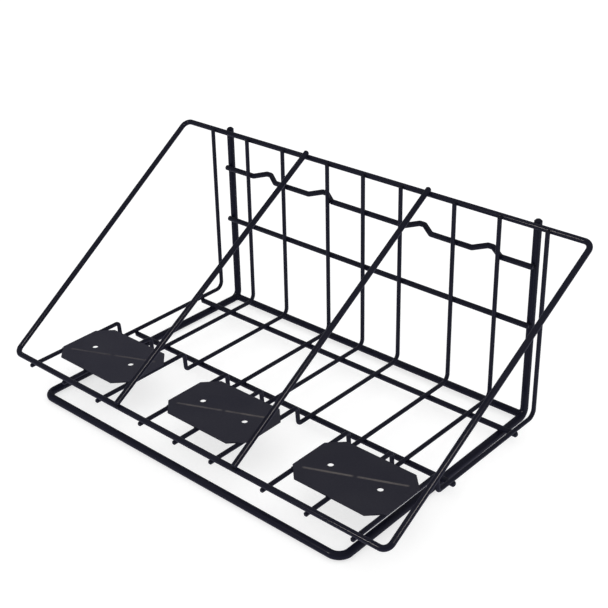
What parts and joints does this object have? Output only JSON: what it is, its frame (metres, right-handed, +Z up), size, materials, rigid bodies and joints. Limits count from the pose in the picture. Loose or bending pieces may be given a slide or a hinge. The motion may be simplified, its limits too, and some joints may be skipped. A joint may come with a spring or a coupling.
{
  "type": "bag holder rack",
  "caption": "Counter-top wire rack that holds open carrier bags side by side, with a sloping top loop, grid wires bent up at the front and drilled plates.",
  "frame": {"origin": "on the counter, in the rear plane of the uprights, midway between the uprights", "axes": "+X to the right seen from the open front, +Y to the rear, +Z up"},
  "size_m": [0.616, 0.3456, 0.259],
  "materials": {
    "powder_coated_rod": "satin black powder coat",
    "powder_coated_plate": "matte black powder coat"
  },
  "bodies": {
    "root": {"base_frame": "powder_coated_rod", "back_crossbar": "powder_coated_rod", "slope_frame": "powder_coated_rod", "divider_rod_left": "powder_coated_rod", "divider_rod_right": "powder_coated_rod", "hanging_rail": "powder_coated_rod", "back_rail": "powder_coated_rod", "floor_rod_rear": "powder_coated_rod", "floor_rod_front": "powder_coated_rod", "grid_wire_1": "powder_coated_rod", "grid_wire_2": "powder_coated_rod", "grid_wire_3": "powder_coated_rod", "grid_wire_4": "powder_coated_rod", "grid_wire_5": "powder_coated_rod", "grid_wire_6": "powder_coated_rod", "grid_wire_7": "powder_coated_rod", "grid_wire_8": "powder_coated_rod", "grid_wire_9": "powder_coated_rod", "bag_plate_left": "powder_coated_plate", "bag_plate_centre": "powder_coated_plate", "bag_plate_right": "powder_coated_plate"}
  },
  "joints": []
}
